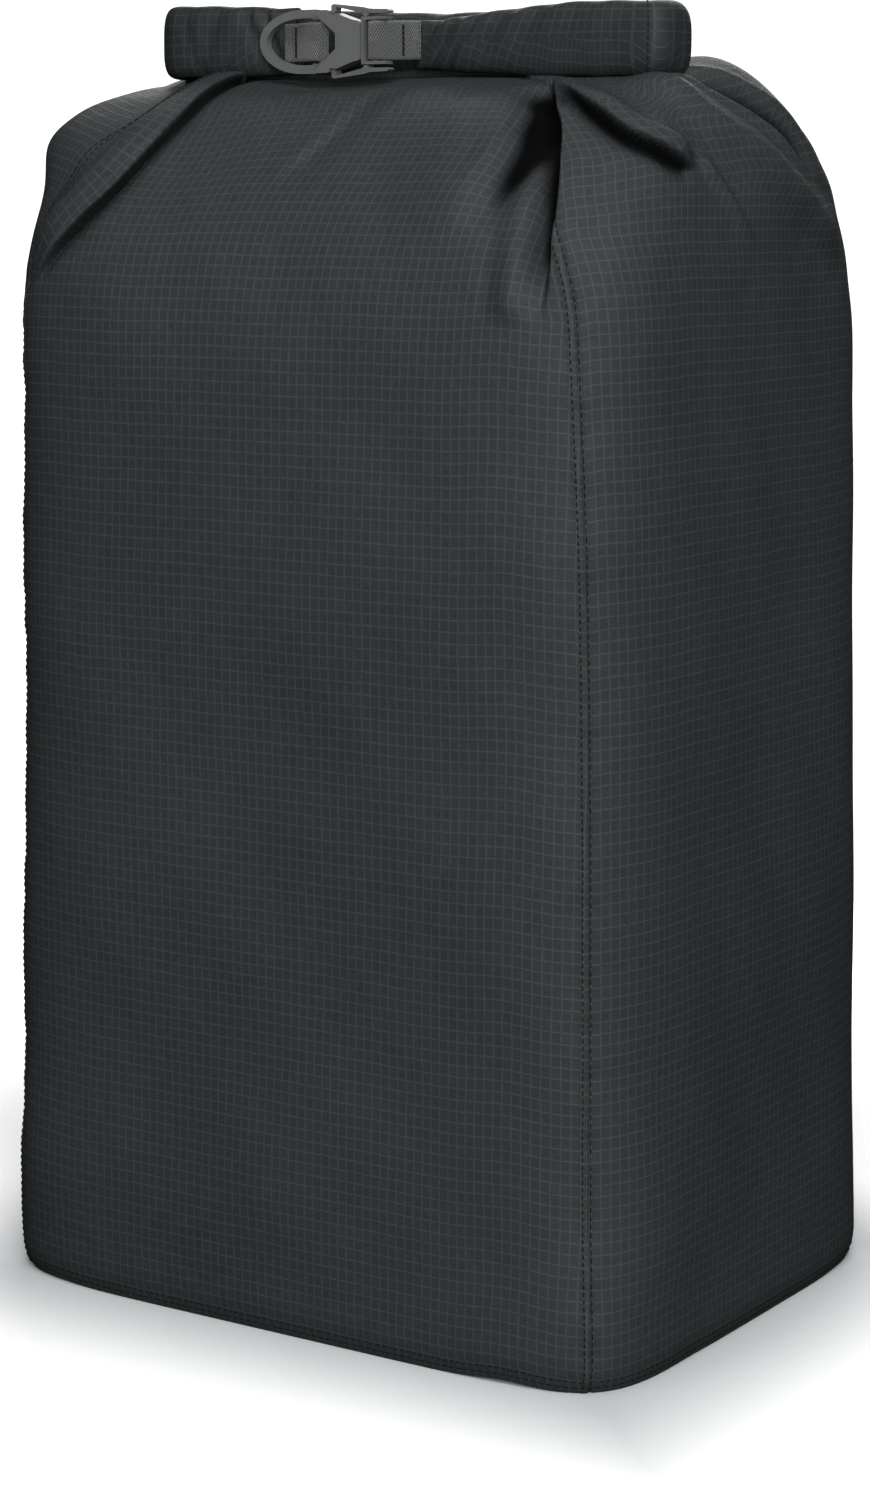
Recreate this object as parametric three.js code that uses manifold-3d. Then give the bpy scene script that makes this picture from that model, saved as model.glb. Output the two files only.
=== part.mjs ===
// Roll-top dry sack, standing filled and closed: a box-shaped ripstop sack whose mouth is rolled down,
// folded in at both ends and joined in front by a two-part lever buckle on sewn webbing.
// Millimetres, +Z up, front face towards -Y. The origin is the centre of the base, on the ground.
import * as THREE from "three";
import Module from "manifold-3d";
import { mergeVertices } from "three/addons/utils/BufferGeometryUtils.js";

const wasm = await Module();
wasm.setup();

// ---------- driving dimensions ----------
const SACK = { width: 322, depth: 254, height: 550 };
const FABRIC = 1; // thickness that stands for the coated ripstop
const GAP = 0.3; // clearance between touching pieces
const TAPER = 0.952; // the walls' size at the shoulder as a share of their size at the foot
const FOOT = { ease: 3, height: 14, radius: 40 }; // how far and how high the walls pull in to the base
const SHOULDER_Z = 385; // where the walls start to lean in to the roll
const TAPE = { inset: FABRIC + 1, thickness: 0.5 }; // the tape behind each seam
const WEBBING = { width: 16, thickness: 1.3 };
const STRIP = { width: 14, thickness: 0.8 }; // stiffener in the hem, at the heart of the roll

// The rolled mouth lies a little in front of the sack's middle and to its left. Below, every x and y
// on the roll and the buckle is measured from the roll's own middle, and every height too.
const ROLL = { x: -8, y: -7, length: 260, height: 31, thickness: 18, bore: 8.5, boreDepth: 1.3 };
const LEFT_END_X = -54; // where the folded-in left end of the roll stops
const RIGHT_END_X = 8; // and the right end
const SLIM_LENGTH = 30; // both ends thin down over this length

const BUCKLE = {
  front: -23, // y of its front face
  thickness: 7,
  mouth: -13.5, // x where the male frame leaves the socket
  mouthHalf: 8.2,
  shoulder: -34.4, // x where the plate meets the carrying loop
  shoulderHalf: 13,
  socket: { half: 5.6, depth: 3.2, end: -28 },
  notch: { from: -29.2, to: -26.2, inner: 11.2 }, // where a hook catches
  bar: { x: -35.2, radius: 1.5 },
};
const LOOP = { centre: -43, reach: 22.1, half: 13.3, band: 3.6, thickness: 3.5 };
const MALE = {
  bar: { x: -7.6, radius: 1.6 },
  railEnd: -0.5,
  railInner: 8.4,
  railOuter: 9.8,
  depth: 5,
  tongue: { end: -25.5, half: 4.8, depth: 2.4 },
};
const LEVER = { pivotX: -11.2, pivotZ: 11.7, boss: 1.7, depth: 4 };

const rollZ = SACK.height - ROLL.height / 2;
const neckZ = SACK.height - ROLL.height - GAP;
const layerY = ROLL.thickness / 2 + 2 * GAP; // each layer's middle, behind and in front of the fold's axis
const foldX = ROLL.length / 2 - layerY - ROLL.thickness / 2;
const buckleY = BUCKLE.front + BUCKLE.thickness / 2;

// ---------- materials ----------
const plain = (color, roughness) => new THREE.MeshStandardMaterial({ color, roughness, metalness: 0 });
const ripstop = plain(0x2b2e2f, 0.6);
const tape = plain(0x4a4d4e, 0.4);
const stiffener = plain(0x1c1d1e, 0.7);
const webbingCloth = plain(0x2e2f30, 0.85);
const thread = plain(0x101112, 0.8);
const acetal = plain(0x3c3c3d, 0.45);

const part = new THREE.Group();

function add(name, geometry, material) {
  const mesh = new THREE.Mesh(geometry, material);
  mesh.name = name;
  part.add(mesh);
}

function addOnRoll(name, geometry, material) {
  add(name, geometry.translate(ROLL.x, ROLL.y, 0), material);
}

// ---------- closed surfaces from grids ----------
function signedVolume(points, faces) {
  const cross = new THREE.Vector3();
  let sum = 0;
  for (const [a, b, c] of faces) {
    sum += points[a].dot(cross.crossVectors(points[b], points[c])) / 6;
  }
  return sum;
}

// Triangles as a geometry, turned so that they face out.
function closedGeometry(points, faces) {
  const inward = signedVolume(points, faces) < 0;
  const index = faces.flatMap(([a, b, c]) => (inward ? [a, c, b] : [a, b, c]));
  const geometry = new THREE.BufferGeometry().setFromPoints(points);
  geometry.setIndex(index);
  geometry.computeVertexNormals();
  return geometry;
}

// A wall between two sheets, each given as point(u, v) with u and v from 0 to 1. With loop set, u runs
// all the way round, so that the wall is a tube with open ends.
function wall(outer, inner, columns, rows, loop = false) {
  const across = loop ? columns : columns + 1;
  const points = [];
  for (const sheet of [outer, inner]) {
    for (let j = 0; j <= rows; j++) {
      for (let i = 0; i < across; i++) {
        points.push(sheet(i / columns, j / rows));
      }
    }
  }
  const at = (side, i, j) => side * across * (rows + 1) + j * across + (i % across);
  const faces = [];
  const quad = (a, b, c, d) => faces.push([a, b, c], [a, c, d]);
  for (let j = 0; j < rows; j++) {
    for (let i = 0; i < columns; i++) {
      quad(at(0, i, j), at(0, i + 1, j), at(0, i + 1, j + 1), at(0, i, j + 1));
      quad(at(1, i, j + 1), at(1, i + 1, j + 1), at(1, i + 1, j), at(1, i, j));
    }
  }
  for (let i = 0; i < columns; i++) {
    quad(at(1, i, 0), at(1, i + 1, 0), at(0, i + 1, 0), at(0, i, 0));
    quad(at(0, i, rows), at(0, i + 1, rows), at(1, i + 1, rows), at(1, i, rows));
  }
  for (let j = 0; j < rows && !loop; j++) {
    quad(at(0, 0, j), at(0, 0, j + 1), at(1, 0, j + 1), at(1, 0, j));
    quad(at(1, columns, j), at(1, columns, j + 1), at(0, columns, j + 1), at(0, columns, j));
  }
  return closedGeometry(points, faces);
}

// ---------- the sack's outer form ----------
const lerp = THREE.MathUtils.lerp;
const power = (value, exponent) => Math.sign(value) * Math.abs(value) ** exponent;
const NECK = { halfWidth: ROLL.length / 2 - 5, halfDepth: 5, square: 2.4 };
const WALL_SQUARE = { foot: 7, top: 6.3, height: 250 }; // how full the corners are, easing up to a height
const LEAN_POWER = 2.3;

// 1 on the walls, 0 at the roll.
function leanAt(z) {
  const up = Math.max(0, (z - SHOULDER_Z) / (neckZ - SHOULDER_Z));
  return Math.max(0, 1 - up ** LEAN_POWER) ** (1 / LEAN_POWER);
}

// Half sizes, squareness and middle of the level section at height z. The contents settle, so the foot
// is the widest and squarest.
function section(z) {
  const lean = leanAt(z);
  const taper = lerp(1, TAPER, Math.min(1, z / SHOULDER_Z));
  const ease = FOOT.ease * Math.max(0, 1 - z / FOOT.height) ** 2;
  const wallSquare = lerp(WALL_SQUARE.foot, WALL_SQUARE.top, Math.min(1, z / WALL_SQUARE.height));
  return {
    a: lerp(NECK.halfWidth, (SACK.width / 2) * taper - ease, lean),
    b: lerp(NECK.halfDepth, (SACK.depth / 2) * taper - ease, lean),
    square: lerp(NECK.square, wallSquare, lean),
    middle: new THREE.Vector2(lerp(ROLL.x, 0, lean), lerp(ROLL.y + layerY, 0, lean)),
  };
}

// The contents push the shoulders out towards the two far corners: amount, middle height, spread in
// height and the stretch of distance along the corner line over which the push grows.
const CORNER_LINE = new THREE.Vector2(0.835, 0.55);
const SHOULDER_PUSHES = [
  { side: 1, amount: 9, z: 492, spread: 36, from: 96, to: 138 },
  { side: -1, amount: 19, z: 499, spread: 21, from: 104, to: 138 },
  { side: -1, amount: 6, z: 455, spread: 45, from: 104, to: 138 },
];

function pushedOut(point, z) {
  const moved = point.clone();
  for (const { side, amount, z: middle, spread, from, to } of SHOULDER_PUSHES) {
    const reach = THREE.MathUtils.smoothstep(side * point.dot(CORNER_LINE), from, to);
    const push = side * amount * reach * Math.exp(-(((z - middle) / spread) ** 2));
    moved.addScaledVector(CORNER_LINE, push);
  }
  return moved;
}

// Points round the section from the left end by way of the front, with the length up to each.
const ROUND_STEPS = 720;
const outlines = new Map();
function outline(z, inset) {
  const key = `${z} ${inset}`;
  if (outlines.has(key)) return outlines.get(key);
  const { a, b, square, middle } = section(z);
  const points = [];
  const lengths = [0];
  for (let i = 0; i <= ROUND_STEPS; i++) {
    const angle = Math.PI + (2 * Math.PI * i) / ROUND_STEPS;
    const c = Math.cos(angle);
    const s = Math.sin(angle);
    const scale = (Math.abs(c) ** square + Math.abs(s) ** square) ** (-1 / square);
    points.push(new THREE.Vector2(middle.x + (a - inset) * c * scale, middle.y + (b - inset) * s * scale));
    if (i > 0) lengths.push(lengths[i - 1] + points[i].distanceTo(points[i - 1]));
  }
  const result = { points, lengths, total: lengths[ROUND_STEPS] };
  outlines.set(key, result);
  return result;
}

// The point at a share of the way round, from 0 to 1.
function sackPoint(share, z, inset) {
  const { points, lengths, total } = outline(z, inset);
  const wanted = (share - Math.floor(share)) * total;
  let i = 1;
  while (i < ROUND_STEPS && lengths[i] < wanted) i++;
  const part = (wanted - lengths[i - 1]) / (lengths[i] - lengths[i - 1]);
  const point = pushedOut(points[i - 1].clone().lerp(points[i], part), z);
  return new THREE.Vector3(point.x, point.y, z);
}

// Four seams run up the corners and close in on the ends of the flattened mouth above the shoulder.
const halfSide = (outline(200, 0).total / 4) * (SACK.depth / (SACK.depth + SACK.width));
const cornerShare = halfSide / outline(200, 0).total;
const SEAMS = {
  front_left: { wall: cornerShare, neck: 0.06 },
  front_right: { wall: 0.5 - cornerShare, neck: 0.38 },
  back_right: { wall: 0.5 + cornerShare, neck: 0.59 },
  back_left: { wall: 1 - cornerShare, neck: 0.905 },
};
const seamShare = (seam, z) => lerp(seam.neck, seam.wall, leanAt(z));

const FOOT_HEIGHTS = [FABRIC + GAP, 6, 14, 16];
const WALL_HEIGHTS = [45, 110, 200, 290, 350, SHOULDER_Z];
const HEIGHTS = [...FOOT_HEIGHTS, ...WALL_HEIGHTS, 415, 440, 462, 480, 495, 507, 514, neckZ];
const heightAt = (v, heights) => heights[Math.round(v * (heights.length - 1))];
const COLUMNS = 10;
const crowded = (u) => (1 - Math.cos(Math.PI * u)) / 2; // columns close up towards the seams
const EDGE = 0.2; // mm kept clear on each side of a seam

function panelPoint(from, to, u, z, inset) {
  const clear = EDGE / outline(z, inset).total;
  const left = seamShare(from, z) + clear;
  let right = seamShare(to, z) - clear;
  if (right < left) right += 1;
  return sackPoint(lerp(left, right, crowded(u)), z, inset);
}

function panel(from, to) {
  const sheet = (inset) => (u, v) => panelPoint(from, to, u, heightAt(v, HEIGHTS), inset);
  return wall(sheet(0), sheet(FABRIC), COLUMNS, HEIGHTS.length - 1);
}
const { front_left, front_right, back_right, back_left } = SEAMS;
add("front_panel", panel(front_left, front_right), ripstop);
add("right_side_panel", panel(front_right, back_right), ripstop);
add("back_panel", panel(back_right, back_left), ripstop);
add("left_side_panel", panel(back_left, front_left), ripstop);

// Each tape bends at its seam and reaches the first column of the panel on either side.
const TAPE_HEIGHTS = HEIGHTS.slice(3, -2);
function seamTape(before, seam, after) {
  const sheet = (inset) => (u, v) => {
    const z = heightAt(v, TAPE_HEIGHTS);
    if (u < 0.25) return panelPoint(before, seam, 1 - 1 / COLUMNS, z, inset);
    if (u > 0.75) return panelPoint(seam, after, 1 / COLUMNS, z, inset);
    return sackPoint(seamShare(seam, z), z, inset);
  };
  return wall(sheet(TAPE.inset), sheet(TAPE.inset + TAPE.thickness), 2, TAPE_HEIGHTS.length - 1);
}
add("seam_tape_front_left", seamTape(back_left, front_left, front_right), tape);
add("seam_tape_front_right", seamTape(front_left, front_right, back_right), tape);
add("seam_tape_back_right", seamTape(front_right, back_right, back_left), tape);
add("seam_tape_back_left", seamTape(back_right, back_left, front_left), tape);

// The base seam's tape runs round inside the foot of the walls.
const corners = [front_left, front_right, back_right, back_left];
const baseTapeSheet = (inset) => (u, v) => {
  const step = Math.round(u * 4 * COLUMNS) % (4 * COLUMNS);
  const side = Math.floor(step / COLUMNS);
  const z = v < 0.5 ? HEIGHTS[1] : HEIGHTS[2];
  return panelPoint(corners[side], corners[(side + 1) % 4], (step % COLUMNS) / COLUMNS, z, inset);
};
const baseTapeOuter = baseTapeSheet(TAPE.inset);
const baseTapeInner = baseTapeSheet(TAPE.inset + TAPE.thickness);
add("base_seam_tape", wall(baseTapeOuter, baseTapeInner, 4 * COLUMNS, 1, true), tape);

function roundedRectangle(halfX, halfY, radius) {
  const shape = new THREE.Shape();
  shape.moveTo(radius - halfX, -halfY);
  shape.absarc(halfX - radius, radius - halfY, radius, -Math.PI / 2, 0);
  shape.absarc(halfX - radius, halfY - radius, radius, 0, Math.PI / 2);
  shape.absarc(radius - halfX, halfY - radius, radius, Math.PI / 2, Math.PI);
  shape.absarc(radius - halfX, radius - halfY, radius, Math.PI, (3 * Math.PI) / 2);
  return shape;
}
const floor = section(0);
const baseOutline = roundedRectangle(floor.a, floor.b, FOOT.radius);
const baseSettings = { depth: FABRIC, bevelEnabled: false, curveSegments: 8 };
add("base_panel", new THREE.ExtrudeGeometry(baseOutline, baseSettings), ripstop);

// ---------- the rolled mouth ----------
// A point of a tube's section: round is its place round the section, from 0 to 1, out is along the
// horizontal direction (cos, sin of turn), and the tube runs square to that.
function ringPoint(centre, turn, round, halfHeight, halfThickness) {
  const angle = 2 * Math.PI * round;
  const out = halfThickness * power(Math.cos(angle), 0.5);
  const up = halfHeight * power(Math.sin(angle), 0.5);
  return new THREE.Vector3(centre.x + out * Math.cos(turn), centre.y + out * Math.sin(turn), rollZ + up);
}

// The line of the roll's middle: behind from right to left, round a fold, and back in front.
const behind = (x) => ({ centre: new THREE.Vector2(x, layerY), turn: Math.PI / 2 });
const inFront = (x) => ({ centre: new THREE.Vector2(x, -layerY), turn: -Math.PI / 2 });
function roundFold(side, share) {
  const turn = Math.PI / 2 - side * Math.PI * share;
  const centre = new THREE.Vector2(side * foldX + layerY * Math.cos(turn), layerY * Math.sin(turn));
  return { centre, turn };
}

const ROUND = 16;
const END = { height: 0.72, thickness: 0.42 }; // how much of its size a folded-in end keeps at its tip
const CORE_WALL = 1.5; // least thickness above and below the bore
const whole = () => 1;
// A hollow stretch of the roll along a line, line(v) with v from 0 to 1. slim(v) thins its end.
function rollTube(line, rows, slim = whole) {
  const skin = (u, v) => {
    const { centre, turn } = line(v);
    const full = slim(v);
    const halfHeight = Math.max((ROLL.height / 2) * lerp(END.height, 1, full), ROLL.bore + CORE_WALL);
    const halfThickness = (ROLL.thickness / 2) * lerp(END.thickness, 1, full);
    return ringPoint(centre, turn, u, halfHeight, halfThickness);
  };
  const core = (u, v) => {
    const { centre, turn } = line(v);
    return ringPoint(centre, turn, u, ROLL.bore, ROLL.boreDepth);
  };
  return wall(skin, core, ROUND, rows, true);
}

// The stiffener strip's section is a flat rectangle, so four corners are enough.
function stripBand(line, rows) {
  const sheet = (out) => (u, v) => {
    const { centre, turn } = line(v);
    const x = centre.x + out * Math.cos(turn);
    const y = centre.y + out * Math.sin(turn);
    return new THREE.Vector3(x, y, rollZ + lerp(-0.5, 0.5, u) * STRIP.width);
  };
  return wall(sheet(STRIP.thickness / 2), sheet(-STRIP.thickness / 2), 1, rows);
}

const endOf = { "-1": LEFT_END_X, 1: RIGHT_END_X };
for (const [name, side] of [["left", -1], ["right", 1]]) {
  const start = side * foldX - side * GAP;
  const end = endOf[side];
  const line = (v) => inFront(lerp(start, end, v));
  const slim = (v) => THREE.MathUtils.smoothstep(Math.abs(lerp(start, end, v) - end), 0, SLIM_LENGTH);
  addOnRoll(`roll_fold_${name}`, rollTube((v) => roundFold(side, v), 8), ripstop);
  addOnRoll(`roll_end_${name}`, rollTube(line, 8, slim), ripstop);
}
addOnRoll("roll_back", rollTube((v) => behind(lerp(foldX - GAP, -foldX + GAP, v)), 6), ripstop);

// The strip is one band in the sack. It is cut at the right fold, where the right end moves.
const bandStops = [0.4, 0.62];
function bandLine(side, fromBehind, v) {
  if (v < bandStops[0]) return behind(lerp(fromBehind, side * foldX, v / bandStops[0]));
  if (v < bandStops[1]) return roundFold(side, (v - bandStops[0]) / (bandStops[1] - bandStops[0]));
  const inset = side < 0 ? 1 : -1;
  return inFront(lerp(side * foldX, endOf[side] - inset, (v - bandStops[1]) / (1 - bandStops[1])));
}
addOnRoll("mouth_strip_left", stripBand((v) => bandLine(-1, foldX - 1, v), 25), stiffener);
const rightBand = (v) =>
  v < 0.2 ? roundFold(1, v / 0.2) : inFront(lerp(foldX, RIGHT_END_X + 1, (v - 0.2) / 0.8));
addOnRoll("mouth_strip_right", stripBand(rightBand, 20), stiffener);

// ---------- webbing ----------
// A plan drawing (x, y) drawn up through the height of the roll's middle.
function drawnUp(shape, height) {
  const settings = { depth: height, bevelEnabled: false, curveSegments: 12 };
  return new THREE.ExtrudeGeometry(shape, settings).translate(0, 0, rollZ - height / 2);
}

// Webbing doubled round a buckle bar and sewn to itself: a teardrop with a double-thickness tail.
function webbingLoop(bar, tailX, tailY) {
  const barAt = new THREE.Vector2(bar.x, buckleY);
  const tail = new THREE.Vector2(tailX, tailY);
  const along = tail.clone().sub(barAt).normalize();
  const aside = new THREE.Vector2(-along.y, along.x);
  const inner = bar.radius + 0.2;
  const outer = inner + WEBBING.thickness;
  const heading = along.angle();
  const join = barAt.clone().addScaledVector(along, 3.2 * outer);
  const shape = new THREE.Shape();
  shape.absarc(barAt.x, barAt.y, outer, heading + 1.25, heading - 1.25 + 2 * Math.PI, false);
  for (const [point, side] of [[join, -1], [tail, -1], [tail, 1], [join, 1]]) {
    const corner = point.clone().addScaledVector(aside, side * WEBBING.thickness);
    shape.lineTo(corner.x, corner.y);
  }
  const hole = new THREE.Path();
  hole.absarc(barAt.x, barAt.y, inner, heading + 1.2, heading - 1.2 + 2 * Math.PI, false);
  const tip = barAt.clone().addScaledVector(along, 2.4 * outer);
  hole.lineTo(tip.x, tip.y);
  shape.holes.push(hole);
  return drawnUp(shape, WEBBING.width);
}

// A row of thread across the doubled webbing, on its front face.
function barTack(bar, tailX, tailY, tackX) {
  const share = (tackX - bar.x) / (tailX - bar.x);
  const y = lerp(buckleY, tailY, share) - WEBBING.thickness - GAP;
  const box = new THREE.BoxGeometry(1.6, 0.5, WEBBING.width - 3);
  return box.translate(tackX, y - 0.55, rollZ);
}

const TAIL_Y = -layerY - 3;
const TAIL_CLEAR = 1; // the tails run aslant, so their corners reach past their ends
const leftTail = LEFT_END_X + TAIL_CLEAR;
const rightTail = RIGHT_END_X - TAIL_CLEAR;
addOnRoll("webbing_left", webbingLoop(BUCKLE.bar, leftTail, TAIL_Y), webbingCloth);
addOnRoll("webbing_right", webbingLoop(MALE.bar, rightTail, TAIL_Y), webbingCloth);
addOnRoll("bar_tack_left", barTack(BUCKLE.bar, leftTail, TAIL_Y, -48.5), thread);
addOnRoll("bar_tack_right", barTack(MALE.bar, rightTail, TAIL_Y, 3.5), thread);

// ---------- solids for joining and cutting ----------
function solid(geometry) {
  const bare = geometry.clone();
  bare.deleteAttribute("normal");
  bare.deleteAttribute("uv");
  const merged = mergeVertices(bare, 1e-4);
  const vertProperties = merged.attributes.position.array;
  const triVerts = new Uint32Array(merged.index.array);
  return new wasm.Manifold(new wasm.Mesh({ numProp: 3, vertProperties, triVerts }));
}

function geometryOf(manifold) {
  const mesh = manifold.getMesh();
  const geometry = new THREE.BufferGeometry();
  geometry.setAttribute("position", new THREE.BufferAttribute(mesh.vertProperties, 3));
  geometry.setIndex(new THREE.BufferAttribute(mesh.triVerts, 1));
  geometry.computeVertexNormals();
  return geometry;
}

// A front-view drawing (x, height from the roll's middle) given depth, centred on y.
function drawnBack(shape, depth, y, curveSegments = 12) {
  const geometry = new THREE.ExtrudeGeometry(shape, { depth, bevelEnabled: false, curveSegments });
  return solid(geometry.rotateX(Math.PI / 2).translate(0, y + depth / 2, rollZ));
}

const block = (x0, x1, y, depth, z0, z1) =>
  solid(
    new THREE.BoxGeometry(x1 - x0, depth, z1 - z0).translate((x0 + x1) / 2, y, rollZ + (z0 + z1) / 2),
  );

function uprightBar(bar, half) {
  const rod = new THREE.CylinderGeometry(bar.radius, bar.radius, 2 * half, 20);
  return solid(rod.rotateX(Math.PI / 2).translate(bar.x, buckleY, rollZ));
}

const disc = (x, z, radius) => new THREE.Shape().absarc(x, z, radius, 0, 2 * Math.PI);
const polygon = (points) => new THREE.Shape(points.map(([x, z]) => new THREE.Vector2(x, z)));
// The same outline above and below the middle line.
const mirrored = (points) => polygon([...points, ...points.map(([x, z]) => [x, -z]).reverse()]);

// ---------- female buckle: plate, socket, web bar and carrying loop ----------
function femaleBuckle() {
  const { mouth, mouthHalf, shoulder, shoulderHalf, socket, notch, bar } = BUCKLE;
  const outline = mirrored([
    [mouth, mouthHalf - 0.8],
    [mouth - 0.8, mouthHalf],
    [mouth - 3, mouthHalf + 0.3],
    [shoulder + 4, shoulderHalf],
    [shoulder - 3, shoulderHalf],
    [shoulder - 3, shoulderHalf - 4],
    [shoulder + 0.5, 9.2],
    [shoulder + 2.5, 7.8],
    [mouth - 12.4, 3.2],
  ]);
  let body = drawnBack(outline, BUCKLE.thickness, buckleY);
  body = body.subtract(block(socket.end, mouth + 1, buckleY, socket.depth, -socket.half, socket.half));
  for (const side of [-1, 1]) {
    const [low, high] = side > 0 ? [notch.inner, 20] : [-20, -notch.inner];
    body = body.subtract(block(notch.from, notch.to, buckleY, BUCKLE.thickness + 2, low, high));
  }
  const loop = new THREE.Shape();
  const right = shoulder - 1.5;
  const inner = { reach: LOOP.reach - LOOP.band, half: LOOP.half - LOOP.band };
  loop.moveTo(right, LOOP.half);
  loop.lineTo(LOOP.centre, LOOP.half);
  loop.absellipse(LOOP.centre, 0, LOOP.reach, LOOP.half, Math.PI / 2, (3 * Math.PI) / 2, false);
  loop.lineTo(right, -LOOP.half);
  loop.lineTo(right, -inner.half);
  loop.lineTo(LOOP.centre, -inner.half);
  loop.absellipse(LOOP.centre, 0, inner.reach, inner.half, (3 * Math.PI) / 2, Math.PI / 2, true);
  loop.lineTo(right, inner.half);
  const loopY = BUCKLE.front + LOOP.thickness / 2;
  body = body.add(drawnBack(loop, LOOP.thickness, loopY, 16));
  return geometryOf(body.add(uprightBar(bar, shoulderHalf - 2)));
}
addOnRoll("female_buckle", femaleBuckle(), acetal);

// ---------- male buckle: rails, web bar, tongue, and seats for the two levers ----------
function maleBuckle() {
  const { bar, railEnd, railInner, railOuter, depth, tongue } = MALE;
  const left = BUCKLE.mouth + GAP;
  const right = bar.x - bar.radius - WEBBING.thickness - 2 * GAP;
  let body = block(left, right, buckleY, depth, -railOuter, railOuter);
  body = body.add(block(tongue.end, left + 0.5, buckleY, tongue.depth, -tongue.half, tongue.half));
  for (const side of [-1, 1]) {
    const [low, high] = side > 0 ? [railInner, railOuter] : [-railOuter, -railInner];
    body = body.add(block(left, railEnd, buckleY, depth, low, high));
    const seat = disc(LEVER.pivotX, side * LEVER.pivotZ, LEVER.boss + GAP);
    body = body.subtract(drawnBack(seat, depth + 2, buckleY, 16));
  }
  return geometryOf(body.add(uprightBar(bar, railInner + 0.6)));
}
addOnRoll("male_buckle", maleBuckle(), acetal);

// A lever pivots on the frame's corner: a hook reaches over the plate to its notch, and a tab behind
// the pivot is pressed to lift the hook.
function lever(side) {
  const { pivotX, pivotZ, boss, depth } = LEVER;
  const { notch } = BUCKLE;
  const arm = [
    [notch.from + 1.6, pivotZ + 3.7],
    [notch.from + 0.4, pivotZ + 3.1],
    [notch.from + 0.4, notch.inner + 0.5],
    [notch.from + 1.2, notch.inner + 0.3],
    [notch.to - 0.4, notch.inner + 0.9],
    [notch.to - 0.1, pivotZ + 2.5],
    [pivotX - boss, pivotZ - 0.4],
    [pivotX + boss, pivotZ - 0.5],
    [MALE.railEnd + 0.4, pivotZ - 0.5],
    [MALE.railEnd + 1, pivotZ + 0.3],
    [MALE.railEnd, pivotZ + 1],
    [pivotX + boss, pivotZ + 1.3],
    [pivotX - 1, pivotZ + 2],
  ];
  const bossShape = disc(pivotX, side * pivotZ, boss);
  const armShape = polygon(arm.map(([x, z]) => [x, side * z]));
  return geometryOf(drawnBack(armShape, depth, buckleY).add(drawnBack(bossShape, depth, buckleY, 16)));
}
addOnRoll("lever_upper", lever(1), acetal);
addOnRoll("lever_lower", lever(-1), acetal);

export default part;
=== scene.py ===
"""Roll-top dry sack, filled and standing: the looks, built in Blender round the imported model.
Metres, +Z up, the buckled front towards -Y. Points and names ending in _MM are in millimetres."""

import math

import bpy
import numpy as np
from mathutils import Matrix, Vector


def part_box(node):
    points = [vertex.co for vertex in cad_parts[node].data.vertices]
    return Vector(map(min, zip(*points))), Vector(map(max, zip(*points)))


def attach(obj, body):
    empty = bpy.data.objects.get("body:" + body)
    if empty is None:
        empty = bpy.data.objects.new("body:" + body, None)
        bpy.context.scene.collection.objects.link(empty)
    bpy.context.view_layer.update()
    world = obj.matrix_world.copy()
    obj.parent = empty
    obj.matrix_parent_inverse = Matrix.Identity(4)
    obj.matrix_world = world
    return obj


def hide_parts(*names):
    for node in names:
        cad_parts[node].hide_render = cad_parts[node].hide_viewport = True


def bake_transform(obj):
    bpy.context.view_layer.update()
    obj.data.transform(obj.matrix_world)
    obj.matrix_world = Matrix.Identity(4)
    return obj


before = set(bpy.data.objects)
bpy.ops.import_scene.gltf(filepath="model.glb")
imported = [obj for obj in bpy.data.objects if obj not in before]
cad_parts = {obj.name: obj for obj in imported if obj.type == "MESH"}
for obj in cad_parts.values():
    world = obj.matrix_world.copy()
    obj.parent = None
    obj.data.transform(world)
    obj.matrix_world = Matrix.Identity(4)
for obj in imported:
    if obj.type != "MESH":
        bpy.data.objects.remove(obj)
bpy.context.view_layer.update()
MM = 0.001
rng = np.random.default_rng(7)


# ---------------------------------------------------------------- sizes, in millimetres
def box_mm(node):
    low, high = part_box(node)
    return np.array(low) / MM, np.array(high) / MM


back_low, back_high = box_mm("roll_back")
left_low, left_high = box_mm("roll_fold_left")
_, right_high = box_mm("roll_fold_right")
_, end_left_high = box_mm("roll_end_left")
end_right_low, _ = box_mm("roll_end_right")
plate_low, plate_high = box_mm("female_buckle")

# The rolled mouth: its middle, one layer's thickness and, from the middle, its folds and ends.
ROLL_BOTTOM = back_low[2]
ROLL_Z = (back_high[2] + ROLL_BOTTOM) / 2
ROLL_HEIGHT = back_high[2] - ROLL_BOTTOM
ROLL_THICK = back_high[1] - back_low[1]
ROLL_X = (left_low[0] + right_high[0]) / 2
ROLL_Y = (left_low[1] + left_high[1]) / 2
LAYER_Y = (back_high[1] + back_low[1]) / 2 - ROLL_Y
FOLD_X = right_high[0] - ROLL_X - LAYER_Y - ROLL_THICK / 2
LEFT_END = end_left_high[0] - ROLL_X
RIGHT_END = end_right_low[0] - ROLL_X

# The sack's walls follow the CAD's form: a tapering box with full corners that closes to the roll.
HALF_WIDTH = 161.0
HALF_DEPTH = 127.0
TAPER = 0.952  # size at the shoulder as a share of the size at the foot
FOOT_EASE = 3.0  # how far the foot pulls in to the base, over the next height
FOOT_HEIGHT = 14.0
SHOULDER_Z = 385.0
NECK_Z = ROLL_BOTTOM + 6.0  # the walls end a little inside the roll
NECK_HALF_WIDTH = 125.0
NECK_HALF_DEPTH = 5.0
LEAN_POWER = 2.3
NECK_SQUARE = 2.4  # power of the rounded section: the higher, the fuller its corners
FOOT_SQUARE = 7.0
WALL_SQUARE = 6.3
FULL_HEIGHT = 250.0  # height at which the foot's squareness has eased to the wall's

RIPSTOP_MM = (4.1, 4.7)  # the grid's squares, round the sack and up it
GRID_LINE_MM = 0.70
WEAVE_MM = 0.42
SEAM_WIDTH_MM = 3.8  # from the join to its row of topstitching
STITCH_MM = 3.0
JOIN_STITCH_MM = 3.4

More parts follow.
